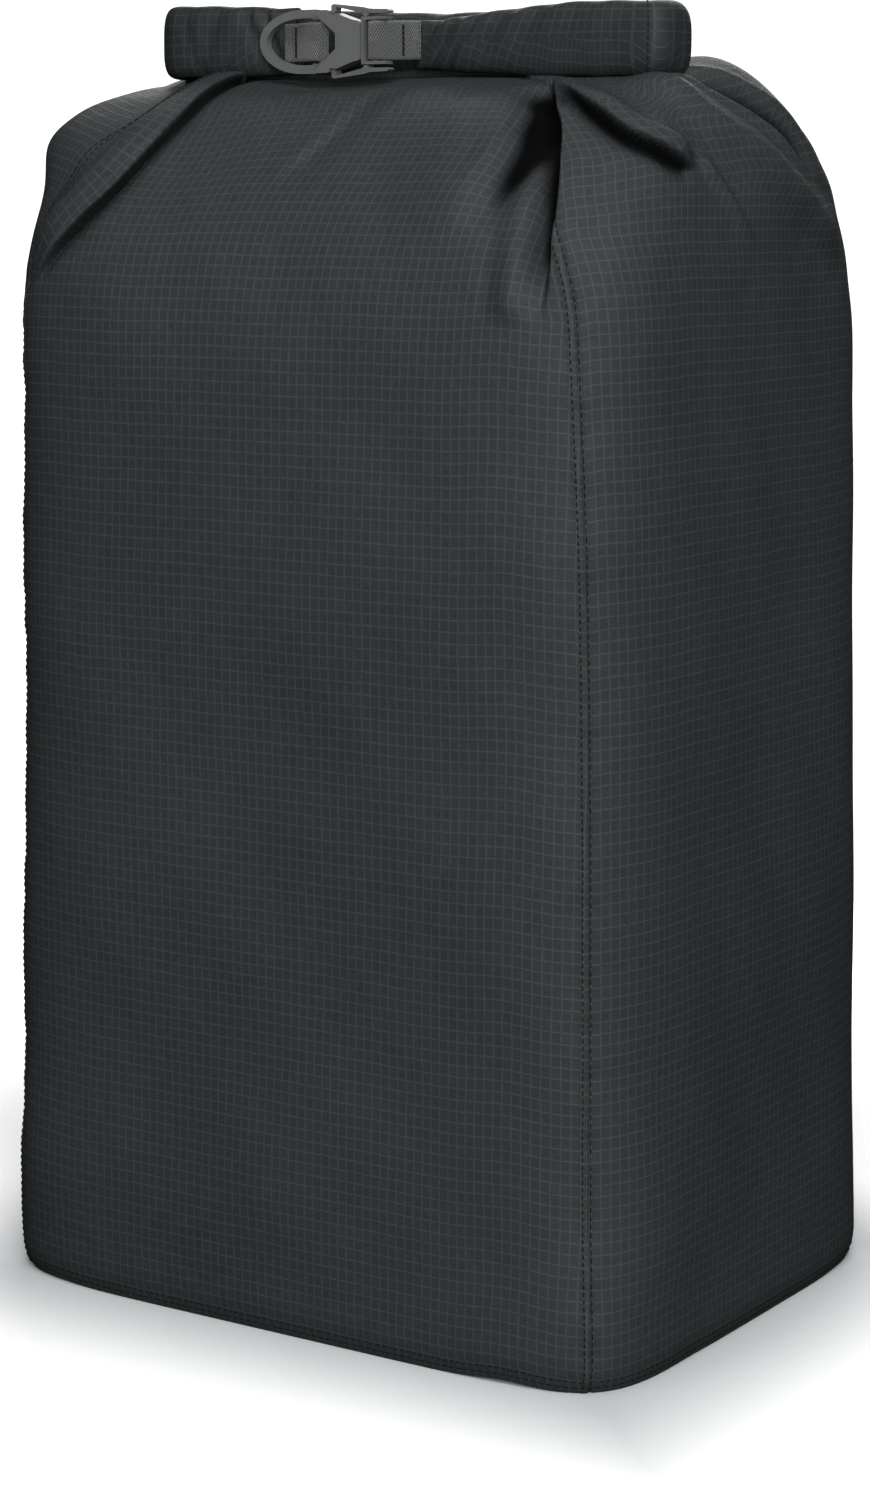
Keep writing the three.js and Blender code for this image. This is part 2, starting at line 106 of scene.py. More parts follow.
smooth = lambda t: t * t * (3 - 2 * t)
ramp = lambda x, low, high: smooth(np.clip((x - low) / (high - low), 0, 1))
mix = lambda a, b, t: a + (b - a) * t
bell = lambda x: np.exp(-(x**2))


def unit(v):
    return v / np.maximum(np.linalg.norm(v, axis=-1, keepdims=True), 1e-9)


# ---------------------------------------------------------------- the sack's form
def lean_at(z):
    up = np.clip((z - SHOULDER_Z) / (ROLL_BOTTOM - SHOULDER_Z), 0, 1)
    return (1 - up**LEAN_POWER) ** (1 / LEAN_POWER)


def section(z):
    """Half width, half depth, squareness and middle of the level section at each height."""
    lean = lean_at(z)
    taper = mix(1, TAPER, np.clip(z / SHOULDER_Z, 0, 1))
    ease = FOOT_EASE * np.clip(1 - z / FOOT_HEIGHT, 0, 1) ** 2
    half_x = mix(NECK_HALF_WIDTH, HALF_WIDTH * taper - ease, lean)
    half_y = mix(NECK_HALF_DEPTH, HALF_DEPTH * taper - ease, lean)
    square = mix(NECK_SQUARE, mix(FOOT_SQUARE, WALL_SQUARE, np.clip(z / FULL_HEIGHT, 0, 1)), lean)
    return half_x, half_y, square, mix(ROLL_X, 0, lean), mix(ROLL_Y + LAYER_Y, 0, lean)


RING_STEPS = 1440


def ring(z):
    """Points round the section at one height, from the left end by way of the front, and each's share."""
    half_x, half_y, square, mid_x, mid_y = section(np.array(float(z)))
    angle = math.pi + 2 * math.pi * np.arange(RING_STEPS + 1) / RING_STEPS
    c, s = np.cos(angle), np.sin(angle)
    scale = (np.abs(c) ** square + np.abs(s) ** square) ** (-1 / square)
    x = mid_x + half_x * c * scale
    y = mid_y + half_y * s * scale
    length = np.concatenate([[0], np.cumsum(np.hypot(np.diff(x), np.diff(y)))])
    return x, y, length / length[-1]


# Share of the way round at which each seam runs, as (height, share) from the foot to the neck.
SEAMS = {
    "front_left": [
        (0, 0.1035),
        (400, 0.1050),
        (440, 0.108),
        (470, 0.119),
        (490, 0.130),
        (508, 0.121),
        (519, 0.091),
    ],
    "front_right": [(0, 0.390), (395, 0.3862), (433, 0.3842), (462, 0.3795), (486, 0.3815), (519, 0.3825)],
    "back_right": [(0, 0.6102), (440, 0.610), (490, 0.602), (519, 0.590)],
    "back_left": [(0, 0.8898), (440, 0.890), (490, 0.894), (519, 0.905)],
}
# The side of each seam, in the order of the columns, that is topstitched.
TOPSTITCH_SIDE = {"front_left": 1, "front_right": -1, "back_right": 1, "back_left": -1}
STITCH_TOP = {"front_right": 474}  # height above which a seam's thread is lost in its fold
# Each panel's name, the seams at its two sides and its number of columns.
PANELS = [
    ("left", "back_left", "front_left", 84),
    ("front", "front_left", "front_right", 250),
    ("right", "front_right", "back_right", 176),
    ("back", "back_right", "back_left", 96),
]
CROWDING = 0.62  # how much closer the columns run beside a seam
WALL_ROW = 3.1  # height of a row on the walls, and over the shoulder
SHOULDER_ROW = 1.35


def curve_through(knots, x):
    """A smooth curve through (x, y) knots."""
    kx, ky = np.array(knots, float).T
    slopes = np.gradient(ky, kx)
    i = int(np.clip(np.searchsorted(kx, x, side="right") - 1, 0, len(kx) - 2))
    h = kx[i + 1] - kx[i]
    s = np.clip((x - kx[i]) / h, 0, 1)
    start = (2 * s**3 - 3 * s**2 + 1) * ky[i] + (s**3 - 2 * s**2 + s) * h * slopes[i]
    return start + (3 * s**2 - 2 * s**3) * ky[i + 1] + (s**3 - s**2) * h * slopes[i + 1]


def wall_heights():
    """Heights of the rows: even steps up the fabric, finer over the shoulder."""
    fine = np.linspace(0, NECK_Z, 6000)
    half_y = section(fine)[1]
    step = np.hypot(np.diff(fine), np.diff(half_y))
    row_height = mix(WALL_ROW, SHOULDER_ROW, ramp(fine[1:], 330, 420))
    measure = np.concatenate([[0], np.cumsum(step / row_height)])
    rows = int(measure[-1])
    return np.interp(np.linspace(0, measure[-1], rows + 1), measure, fine)


HEIGHTS = wall_heights()
ROWS = len(HEIGHTS)
COLUMNS = sum(count for *_, count in PANELS)
panel_starts = np.cumsum([0] + [count for *_, count in PANELS])
FIRST_COLUMN = {name: start for (name, *_), start in zip(PANELS, panel_starts)}


def build_grid():
    """Rest positions of the whole wall, rows by columns."""
    grid = np.zeros((ROWS, COLUMNS, 3))
    for r, z in enumerate(HEIGHTS):
        x, y, share = ring(z)
        wanted = []
        for _, start, end, count in PANELS:
            a = curve_through(SEAMS[start], z)
            b = curve_through(SEAMS[end], z)
            t = np.arange(count) / count
            t = t - CROWDING * np.sin(2 * math.pi * t) / (2 * math.pi)
            wanted.append(a + ((b - a) % 1.0) * t)
        wanted = np.concatenate(wanted) % 1.0
        grid[r, :, 0] = np.interp(wanted, share, x)
        grid[r, :, 1] = np.interp(wanted, share, y)
        grid[r, :, 2] = z
    return grid


def grid_normals(p):
    """Outward unit normals of the ring grid."""
    across = np.roll(p, -1, axis=1) - np.roll(p, 1, axis=1)
    return unit(np.cross(across, np.gradient(p, axis=0)))


# ---------------------------------------------------------------- folds
FAR_SIDE = 26.0  # points further than this off a path's surface belong to another part of the wall


class Path:
    """A smooth line over the walls through a few points."""

    def __init__(self, knots, steps=220):
        knots = np.array(knots, float)
        at = np.concatenate([[0], np.cumsum(np.linalg.norm(np.diff(knots, axis=0), axis=1))])
        t = np.linspace(0, at[-1], steps)
        slopes = np.gradient(knots, at, axis=0)
        i = np.clip(np.searchsorted(at, t, side="right") - 1, 0, len(knots) - 2)
        h = (at[i + 1] - at[i])[:, None]
        s = (t[:, None] - at[i, None]) / h
        a = (2 * s**3 - 3 * s**2 + 1) * knots[i] + (s**3 - 2 * s**2 + s) * h * slopes[i]
        b = (3 * s**2 - 2 * s**3) * knots[i + 1] + (s**3 - s**2) * h * slopes[i + 1]
        self.line = a + b
        self.at = t
        self.length = at[-1]
        self.tangent = unit(np.gradient(self.line, axis=0))

    def measure(self, p, n, reach):
        """For the grid points near the line: their rows and columns, how far along the line each is, how
        far off it (positive on the right as it runs, seen from outside) and the unit direction off it."""
        low = self.line.min(axis=0) - reach
        high = self.line.max(axis=0) + reach
        rows, columns = np.nonzero(np.all((p > low) & (p < high), axis=2))
        here, normal = p[rows, columns], n[rows, columns]
        which = np.zeros(len(here), int)
        best = np.full(len(here), np.inf)
        for k, q in enumerate(self.line):
            gap = ((here - q) ** 2).sum(axis=1)
            closer = gap < best
            best[closer] = gap[closer]
            which[closer] = k
        offset = here - self.line[which]
        tangent = self.tangent[which]
        beyond = (offset * tangent).sum(axis=1)
        across = unit(np.cross(tangent, normal))
        lift = (offset * normal).sum(axis=1)
        side = np.sign((offset * across).sum(axis=1))
        off = np.sqrt(np.maximum(best - beyond**2 - lift**2, 0)) * side
        at_end = (which == 0) | (which == len(self.line) - 1)
        along = self.at[which] + np.where(at_end, beyond, 0)
        kept = (np.abs(lift) < FAR_SIDE) & (np.abs(off) < reach)
        kept &= (along > -reach) & (along < self.length + reach)
        return rows[kept], columns[kept], along[kept], off[kept], across[kept]


def fading(start, end):
    """Strength along a path: it rises round the first start millimetres and falls round the last end."""

    def strength(along, length):
        return ramp(along, -0.5 * start, start) * (1 - ramp(along, length - end, length + 0.4 * end))

    return strength


def ridge(p, knots, strength, height, width, steep=0.0):
    """A soft ridge, or a valley with a height below zero. steep makes its right side (above 0) steeper."""
    n = grid_normals(p)
    path = Path(knots)
    rows, columns, along, off, _ = path.measure(p, n, 3.4 * width)
    x = off / width
    x = x * (1 + steep * np.tanh(3 * x))
    profile = bell(x) - 0.16 * bell((np.abs(x) - 1.8) / 0.6)
    moved = p.copy()
    moved[rows, columns] += n[rows, columns] * (profile * height * strength(along, path.length))[:, None]
    return moved


# Painted shade: how dark each point of the walls is painted in the creases under the pleats, gathered as they
# are made.
crease_shade = np.zeros((ROWS, COLUMNS))


def pleat(p, knots, strength, side, lift, back, over, depth, valley, edge=2.4, dip=0.0, dark=(0.5, 0.5)):
    """A fold that lies over the fabric beside it. knots run along its sharp edge and its soft back is on
    the right of them for side 1, on the left for -1. It stands lift high, falls away over a width of back,
    hangs over by over, and the fabric below it sinks by depth over a width of valley. dark is how dark its
    crease is at the start and at the end of the path."""
    n = grid_normals(p)
    path = Path(knots)
    rows, columns, along, off, across = path.measure(p, n, max(2.2 * back, 2.6 * valley))
    x = off * side
    power = strength(along, path.length)
    up = ramp(x, -edge, edge)
    crown = bell(np.maximum(x - 0.3 * back, 0) / (0.42 * back)) * mix(0.8, 1.0, ramp(x, 0, 0.3 * back))
    hollow = -dip * bell((x - 1.25 * back) / (0.4 * back))
    sunk = -depth * bell(np.minimum(x, 0) / valley) * (1 - up)
    height = (lift * up * crown + hollow + sunk) * power
    slide = -over * bell((x - 1.3 * edge) / (1.5 * edge))
    slide += 0.5 * over * bell((x + 1.2 * edge) / (1.6 * edge))
    # Painted shade: the crease below the fold's edge is darkened in the walls' colour, kept in crease_shade.
    under = np.where(x < 0, bell(x / (0.8 * valley)), 1 - ramp(x, 0.1 * edge, 1.1 * edge))
    shade = under * ramp(power, 0.1, 0.6) * mix(dark[0], dark[1], np.clip(along / path.length, 0, 1))
    crease_shade[rows, columns] = np.maximum(crease_shade[rows, columns], shade)
    moved = p.copy()
    moved[rows, columns] += n[rows, columns] * height[:, None]
    moved[rows, columns] += across * (slide * power * side)[:, None]
    return moved


# Soft folds of the shoulder: points, fades at both ends, height, width and how much steeper the right is.
SOFT_FOLDS = [
    ([(0, -45, 513), (1, -60, 507), (0, -74, 498), (-5, -85, 488), (-14, -96, 474)], (10, 24), -1.9, 5, 0.5),
    ([(52, -50, 511), (62, -80, 495), (70, -100, 474), (80, -112, 446)], (20, 40), 2.6, 17, 0),
    ([(112, -10, 518), (124, -5, 516), (131, 6, 511), (138, 26, 499), (143, 50, 482)], (10, 26), -7, 4.6, 0),
    ([(108, -26, 517), (134, -20, 503), (145, 10, 485), (148, 46, 465), (148, 74, 449)], (14, 26), 4.2, 8, 0),
    ([(143, -34, 486), (146, -27, 476), (148, -18, 465), (150, -7, 452)], (6, 20), 2.2, 3.4, 0),
    ([(-108, 10, 517), (-132, 4, 503), (-147, 0, 482), (-153, -4, 455)], (14, 30), 3.0, 9, 0),
    ([(-95, 40, 515), (-120, 70, 494), (-138, 88, 470)], (14, 30), -5.0, 9, 0),
]
# Behind, the fabric is drawn in by two shallow pleats: side and points.
BACK_PLEATS = [
    (1, [(40, 22, 519), (52, 60, 505), (66, 96, 474), (74, 112, 440)]),
    (-1, [(-52, 22, 519), (-60, 60, 505), (-74, 96, 474), (-84, 112, 440)]),
]
# The folded corner on the left, from its tip up to the roll.
EAR = [(-128, -105, 434), (-117, -107, 447), (-104, -103, 460), (-91, -94, 476)]
EAR += [(-85, -81, 491), (-84, -62, 504), (-86, -42, 513), (-88, -26, 519)]
# The edge over the deep hollow right of the middle, from the roll down along the corner seam.
PIT = [(76, -34, 516), (94, -60, 505), (104, -73, 496), (110, -84, 484)]
PIT += [(116, -96, 468), (119, -105, 450), (120, -108, 439), (120, -113, 423)]
# The soft valley that runs off from the hollow to the left, and the pouch below it.
ARM = [(86, -62, 505), (92, -78, 495), (92, -88, 485), (90, -97, 474), (86, -105, 460)]
POUCH = [(102, -84, 489), (105, -98, 470), (106, -106, 455), (107, -112, 438), (109, -115, 424)]
# The leaf: a small fold that hangs over the side panel's top.
LEAF = [(79, -38, 515), (97, -52, 509), (113, -60, 502), (130, -62, 491), (140, -54, 486), (144, -46, 481)]


def undulate(p):
    """Slow, shallow waves in the filled walls, so that no panel is dead flat."""
    n = grid_normals(p)
    swell = np.zeros(p.shape[:2])
    for _ in range(14):
        wave = rng.normal(size=3) * np.array([1, 1, 0.8]) / rng.uniform(16, 42)
        swell += np.sin(p @ wave + rng.uniform(0, 6.3)) * rng.uniform(0.12, 0.4)
    # Faint crumples where the fabric is drawn in to the neck.
    crumple = np.zeros(p.shape[:2])
    for _ in range(10):
        wave = rng.normal(size=3) / rng.uniform(4.5, 9)
        crumple += np.sin(p @ wave + rng.uniform(0, 6.3)) * rng.uniform(0.03, 0.1)
    high = ramp(p[..., 2], 380, 470)
    fade = ramp(p[..., 2], 0, 60) * (1 - 0.5 * ramp(p[..., 2], 470, 515))
    return p + n * (swell * 1.15 * fade + crumple * high)[..., None]


END_WAY = np.array([0.835, 0.55])  # the plan direction in which the sack's two far corners lie


def fill_out(p):
    """The contents push the shoulders out at both ends, so that they nearly make corners under the roll."""
    x, y, z = p[..., 0], p[..., 1], p[..., 2]
    outward = x * END_WAY[0] + y * END_WAY[1]
    push = 9.0 * bell((z - 492) / 36) * ramp(outward, 96, 138)
    push -= (19.0 * bell((z - 499) / 21) + 6.0 * bell((z - 455) / 45)) * ramp(-outward, 104, 138)
    moved = p.copy()
    moved[..., :2] += push[..., None] * END_WAY
    # The cloth stands up behind the roll's right end, and the buckle rests on the cloth below it.
    high = ramp(z, 470, 500)
    moved[..., 2] += 9.5 * bell(np.hypot(x - 114, y - 27) / 21) * high
    moved[..., 2] -= 3.6 * bell((x + 34) / 30) * bell((y + 31) / 11) * high
    belly = 1.6 * bell((z - 330) / 150)
    return moved + grid_normals(p) * belly[..., None]


def add_folds(p):
    """The walls with their waves, folds and seams."""
    p = undulate(p)
    for knots, fade, height, width, steep in SOFT_FOLDS:
        p = ridge(p, knots, fading(*fade), height, width, steep)
    for side, knots in BACK_PLEATS:
        p = pleat(p, knots, fading(14, 34), side, 6, 24, 3, 5, 14)
    # These four meet, so each is worked out on the same surface and they are added.
    hollow = pleat(p, PIT, pit_strength, -1, 3.0, 15, 2.2, 13.0, 9.5, edge=2.0, dark=(1.0, 0.8)) - p
    arm = ridge(p, ARM, fading(14, 30), -6.5, 7.5) - p
    pouch = ridge(p, POUCH, pouch_strength, 3.4, 6.5) - p
    leaf = pleat(p, LEAF, leaf_strength, -1, 6.5, 15, 3.2, 6.0, 6, edge=2.0, dip=0.6, dark=(0.9, 1.0)) - p
    p = p + hollow + arm + pouch + leaf
    p = pleat(p, EAR, ear_strength, -1, 8.0, 26, 5.6, 3.6, 4.2, edge=2.1, dip=0.3, dark=(0.3, 1.0))
    return seam_relief(lift_foot(p))


def ear_strength(along, length):
    """Low at its round tip, fullest a third of the way up and slim where it goes under the roll."""
    tip = ramp(along, -6, 30)
    tip = tip * mix(1.0, 0.6, ramp(along, 0.4 * length, length))
    return tip * (1 - ramp(along, length + 4, length + 16))


def pit_strength(along, length):
    """Deepest just below the roll, half as deep along the seam, and gone at the pouch."""
    start = ramp(along, -2, 14) * mix(1.0, 0.55, ramp(along, 30, 62))
    return start * (1 - ramp(along, length - 34, length + 4))


def pouch_strength(along, length):
    """The pouch swells slowly and ends round."""
    return ramp(along, 0, 0.8 * length) * (1 - ramp(along, length - 7, length + 5))


def leaf_strength(along, length):
    """It grows out from under the roll and ends in a round tip."""
    return mix(0.15, 1.0, ramp(along, 4, 0.5 * length)) * (1 - ramp(along, length - 9, length + 6))


def seam_offset(p, name):
    """Signed distance of every grid point round its row from a seam, above 0 on the far side of it."""
    column = FIRST_COLUMN[{start: panel for panel, start, _, _ in PANELS}[name]]
    step = np.linalg.norm(np.roll(p, -1, axis=1) - p, axis=2)
    turned = np.roll(step, -column, axis=1)
    ahead = np.concatenate([np.zeros((ROWS, 1)), np.cumsum(turned, axis=1)[:, :-1]], axis=1)
    whole = turned.sum(axis=1, keepdims=True)
    ahead = np.where(ahead > whole / 2, ahead - whole, ahead)
    return np.roll(ahead, column, axis=1)


# Stretches of the foot that ride up: the seam each is measured from, how far off and how high.
FOOT_ARCHES = [("front_right", -36, 1.6), ("front_left", 30, 0.6), ("front_right", 60, 0.5)]
FOOT_ARCHES += [("back_right", -32, 0.8), ("back_left", 28, 1.2), ("back_right", 40, 1.2)]
ARCH_WIDTH = 17.0


def lift_foot(p):
    """The filled corners press down and the edges between them ride up a little off the ground."""
    low = 1 - ramp(p[..., 2], 0, 46)
    edge = np.zeros(p.shape[:2])
    for name, reach, amount in FOOT_ARCHES:
        edge += amount * bell((seam_offset(p, name) - reach) / ARCH_WIDTH)
    moved = p.copy()
    moved[..., 2] += edge * low
    bulge = bell(seam_offset(p, "front_right") / 22) * bell((p[..., 2] - 26) / 24) * 2.0
    return moved + grid_normals(p) * bulge[..., None]


def seam_relief(p):
    """Each corner seam is a groove beside a strip that is lapped and topstitched, with small puckers."""
    n = grid_normals(p)
    height = p[..., 2]
    total = np.zeros(p.shape[:2])
    for name in SEAMS:
        off = seam_offset(p, name)
        side = TOPSTITCH_SIDE[name]
        groove = -0.75 * bell(off / 0.75)
        strip = off * side
        lap = 0.42 * ramp(strip, 0.4, 1.3) * (1 - ramp(strip, SEAM_WIDTH_MM - 0.4, SEAM_WIDTH_MM + 1.4))
        beat = np.sin(height / 1.9 + 2.2 * np.sin(height / 17.0)) * np.sin(height / 5.3 + side)
        slow = np.sin(height / 4.1 + 2 * np.sin(height / 23.0))
        pucker = 0.30 * beat * bell(off / 5.5) + 0.22 * slow * bell(off / 9)
        total += (groove + lap + pucker) * (1 - ramp(height, 448, 470))
    return p + n * total[..., None]


plain_form = fill_out(build_grid())
points = add_folds(plain_form)
normals = grid_normals(points)
# How far each point of the walls lies in a fold, below the plain form.
sunk = -((points - plain_form) * grid_normals(plain_form)).sum(axis=-1)


# ---------------------------------------------------------------- meshes
def quad_rows(rows, columns, closed):
    """Corner numbers of the quads of a grid of points, faces looking out when columns run anticlockwise."""
    r, c = np.meshgrid(np.arange(rows - 1), np.arange(columns if closed else columns - 1), indexing="ij")
    after = (c + 1) % columns
    quads = [r * columns + c, r * columns + after, (r + 1) * columns + after, (r + 1) * columns + c]
    return np.stack(quads, axis=-1).reshape(-1, 4)


def quad_mesh(name, verts_mm, quads, uv_mm=None):
    """A smooth mesh of quads. uv_mm gives fabric coordinates for each face corner."""
    mesh = bpy.data.meshes.new(name)
    verts = np.asarray(verts_mm, float).reshape(-1, 3) * MM
    quads = np.asarray(quads, int)
    mesh.vertices.add(len(verts))
    mesh.vertices.foreach_set("co", verts.ravel())
    mesh.loops.add(quads.size)
    mesh.loops.foreach_set("vertex_index", quads.ravel())
    mesh.polygons.add(len(quads))
    mesh.polygons.foreach_set("loop_start", np.arange(len(quads)) * 4)
    mesh.polygons.foreach_set("use_smooth", np.ones(len(quads), bool))
    if uv_mm is not None:
        layer = mesh.uv_layers.new(name="fabric")
        layer.data.foreach_set("uv", (np.asarray(uv_mm, float).reshape(-1, 2) * MM).ravel())
    mesh.update(calc_edges=True)
    mesh.validate()
    obj = bpy.data.objects.new(name, mesh)
    bpy.context.collection.objects.link(obj)
    return obj


PANEL_APART = 700.0  # keeps the panels' fabric coordinates from running into each other


def quad_corners(grid):
    """A grid's values at the corners of each of its quads, in the order that quad_rows gives them."""
    return np.stack([grid[:-1, :-1], grid[:-1, 1:], grid[1:, 1:], grid[1:, :-1]], axis=2)


def fabric_uv(p):
    """Fabric coordinates of the walls at each quad's corners: round the sack from each panel's own line
    and up the wall. On the ear the cloth's lines follow the fold instead."""
    step = np.linalg.norm(np.roll(p, -1, axis=1) - p, axis=2)
    up = np.vstack([np.zeros(COLUMNS), np.cumsum(np.linalg.norm(np.diff(p, axis=0), axis=2), axis=0)])
    zero_at = {"front": 0.5, "left": 1.0, "right": 0.0, "back": 0.5}  # share of the panel's columns
    corner = np.zeros((ROWS - 1, COLUMNS, 4, 2))
    for k, (name, _, _, count) in enumerate(PANELS):
        a = FIRST_COLUMN[name]
        ends = np.concatenate([np.zeros((ROWS, 1)), np.cumsum(step[:, a : a + count], axis=1)], axis=1)
        u = ends - ends[:, [int(count * zero_at[name])]] + PANEL_APART * k
        i = np.arange(a, a + count)
        v = up[:, np.append(i, (i[-1] + 1) % COLUMNS)]
        corner[:, i] = quad_corners(np.stack([u, v], axis=-1))
    on_ear = np.zeros((ROWS, COLUMNS), bool)
    ear_uv = np.zeros((ROWS, COLUMNS, 2))
    rows, columns, along, off, _ = Path(EAR).measure(p, grid_normals(p), 40)
    kept = (off < 1.5) & (off > -27) & (along > 4)
    on_ear[rows[kept], columns[kept]] = True
    ear_uv[rows[kept], columns[kept], 0] = off[kept]
    ear_uv[rows[kept], columns[kept], 1] = along[kept]
    closed = lambda grid: np.concatenate([grid, grid[:, :1]], axis=1)
    whole = quad_corners(closed(on_ear)).all(axis=2)
    corner[whole] = quad_corners(closed(ear_uv))[whole]
    return corner


walls = quad_mesh("sack_walls", points, quad_rows(ROWS, COLUMNS, True), fabric_uv(points))
# Painted shade: the walls' colour is darkened in the creases under the pleats and where the walls sink into
# folds. The amount goes to the material in the attribute named sunk.
painted_fold_shade = np.maximum(crease_shade, ramp(sunk, 2.0, 7.0))
depth = walls.data.attributes.new("sunk", "FLOAT", "POINT")
depth.data.foreach_set("value", painted_fold_shade.ravel().astype(np.float32))
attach(walls, "sack")
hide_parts("front_panel", "back_panel", "left_side_panel", "right_side_panel")


# ---------------------------------------------------------------- shader helpers
class Nodes:
    """A small wrapper that builds a material's node tree."""

    def __init__(self, name, **settings):
        self.material = bpy.data.materials.new(name)
        self.material.use_nodes = True
        self.tree = self.material.node_tree
        self.shader = self.tree.nodes["Principled BSDF"]
        for key, value in settings.items():
            self.shader.inputs[key.replace("_", " ")].default_value = value

    def new(self, kind, inputs=(), **attributes):
        node = self.tree.nodes.new(kind)
        for key, value in attributes.items():
            setattr(node, key, value)
        for key, value in dict(inputs).items():
            self.put(value, node.inputs[key])
        return node

    def put(self, value, socket):
        if isinstance(value, bpy.types.NodeSocket):
            self.tree.links.new(value, socket)
        else:
            socket.default_value = value

    def math(self, operation, a, b=0.0):
        return self.new("ShaderNodeMath", {0: a, 1: b}, operation=operation).outputs[0]

    def wave(self, value, period):
        return self.math("SINE", self.math("MULTIPLY", value, 2 * math.pi / period))

    def remap(self, value, low, high, to_low=0.0, to_high=1.0, kind="SMOOTHSTEP"):
        inputs = {"Value": value, "From Min": low, "From Max": high}
        inputs.update({"To Min": to_low, "To Max": to_high})
        return self.new("ShaderNodeMapRange", inputs, interpolation_type=kind).outputs[0]

    def noise(self, vector, scale, detail=3.0, roughness=0.5):
        inputs = {"Vector": vector, "Scale": scale, "Detail": detail, "Roughness": roughness}
        return self.new("ShaderNodeTexNoise", inputs).outputs["Fac"]

    def blend(self, factor, a, b):
        node = self.new("ShaderNodeMix", data_type="RGBA")
        self.put(factor, node.inputs["Factor"])
        self.put(a, node.inputs[6])
        self.put(b, node.inputs[7])
        return node.outputs[2]

    def split(self, vector):
        node = self.new("ShaderNodeSeparateXYZ", {0: vector})
        return node.outputs[0], node.outputs[1], node.outputs[2]

    def coordinates(self):
        return self.new("ShaderNodeTexCoord").outputs["Object"]

    def uv(self):
        return self.new("ShaderNodeUVMap", uv_map="fabric").outputs[0]

    def bump(self, height, distance, strength, normal=None):
        inputs = {"Height": height, "Distance": distance, "Strength": strength}
        node = self.new("ShaderNodeBump", inputs)
        if normal is not None:
            self.put(normal, node.inputs["Normal"])
        return node.outputs[0]

    def finish(self, colour, roughness, normal=None):
        self.put(colour, self.shader.inputs["Base Color"])
        self.put(roughness, self.shader.inputs["Roughness"])
        if normal is not None:
            self.put(normal, self.shader.inputs["Normal"])
        return self.material


def rgb(r, g, b, tone=1.0):
    """A linear colour from one as seen on screen, 0 to 255; tone is a share of its light."""
    linear = []
    for value in (r / 255, g / 255, b / 255):
        linear.append(value / 12.92 if value <= 0.04045 else ((value + 0.055) / 1.055) ** 2.4)
    return (*(tone * value for value in linear), 1.0)


def thread_line(n, coordinate, period, width):
    """1 on the thick threads of the grid, 0 between them."""
    place = n.math("FRACT", n.math("DIVIDE", coordinate, period))
    off = n.math("ABSOLUTE", n.math("SUBTRACT", place, 0.5))
    half = width / period / 2
    return n.remap(off, half * 0.4, half * 1.6, 1.0, 0.0)


def ripstop_material(name, tone):
    """Coated ripstop: tone is how light the cloth is, as a share of the walls' own."""
    n = Nodes(name, Specular_IOR_Level=0.05)
    u, v, _ = n.split(n.uv())
    # The yarns are never quite straight, so the grid wanders a little.
    wander = n.noise(n.coordinates(), 55.0, 1.0)
    sway = n.math("MULTIPLY", n.math("SUBTRACT", wander, 0.5), 0.0009)
    u = n.math("ADD", u, sway)
    v = n.math("SUBTRACT", v, sway)
    across = thread_line(n, u, RIPSTOP_MM[0] * MM, GRID_LINE_MM * MM)
    upward = thread_line(n, v, RIPSTOP_MM[1] * MM, GRID_LINE_MM * MM)
    lines = n.math("MAXIMUM", across, upward)
    crossing = n.math("MULTIPLY", across, upward)
    uneven = n.noise(n.uv(), 900.0, 2.0)
    lines_seen = n.math("MULTIPLY", lines, n.remap(uneven, 0.3, 0.7, 0.55, 1.0, "LINEAR"))
    weave = n.math("MULTIPLY", n.wave(u, WEAVE_MM * MM), n.wave(v, WEAVE_MM * MM))
    broad = n.noise(n.coordinates(), 9.0, 3.0)
    blotch = n.noise(n.coordinates(), 240.0, 2.0)
    shade = n.math("ADD", n.math("MULTIPLY", broad, 0.35), n.math("MULTIPLY", blotch, 0.25))
    shade = n.math("ADD", shade, n.math("MULTIPLY", lines_seen, 0.46))
    shade = n.remap(shade, 0.1, 0.95, kind="LINEAR")
    colour = n.blend(shade, rgb(26, 29, 30, tone), rgb(46, 49, 49, tone))
    # Painted shade: the colour goes nearly black in the creases and folds, by the attribute named sunk, where
    # little light gets down.
    folded = n.new("ShaderNodeAttribute", attribute_name="sunk").outputs["Fac"]
    colour = n.blend(folded, colour, rgb(1, 1, 2))
    rough = n.math("ADD", broad, n.math("MULTIPLY", lines, 0.2))
    rough = n.remap(rough, 0.2, 1.0, 0.6, 0.48, "LINEAR")
    rough = n.math("MAXIMUM", rough, folded)
    height = n.math("ADD", n.math("MULTIPLY", lines, 0.8), n.math("MULTIPLY", crossing, 0.3))
    height = n.math("ADD", height, n.math("MULTIPLY", weave, 0.12))
    fine = n.bump(height, 0.00010, 0.9)
    slack = n.noise(n.coordinates(), 95.0, 3.0, 0.55)
    return n.finish(colour, rough, n.bump(slack, 0.0011, 0.35, fine))


def thread_material():
    n = Nodes("thread", Specular_IOR_Level=0.1)
    twist = n.noise(n.coordinates(), 2500.0, 2.0)
    return n.finish(n.blend(twist, rgb(5, 6, 7), rgb(16, 17, 18)), 0.8, n.bump(twist, 0.0001, 0.5))


RIPSTOP = ripstop_material("ripstop", 1.24)
RIPSTOP_ROLLED = ripstop_material("ripstop_rolled", 1.0)
THREAD = thread_material()


def paint(obj, material):
    obj.data.materials.clear()
    obj.data.materials.append(material)
    return obj


paint(walls, RIPSTOP)


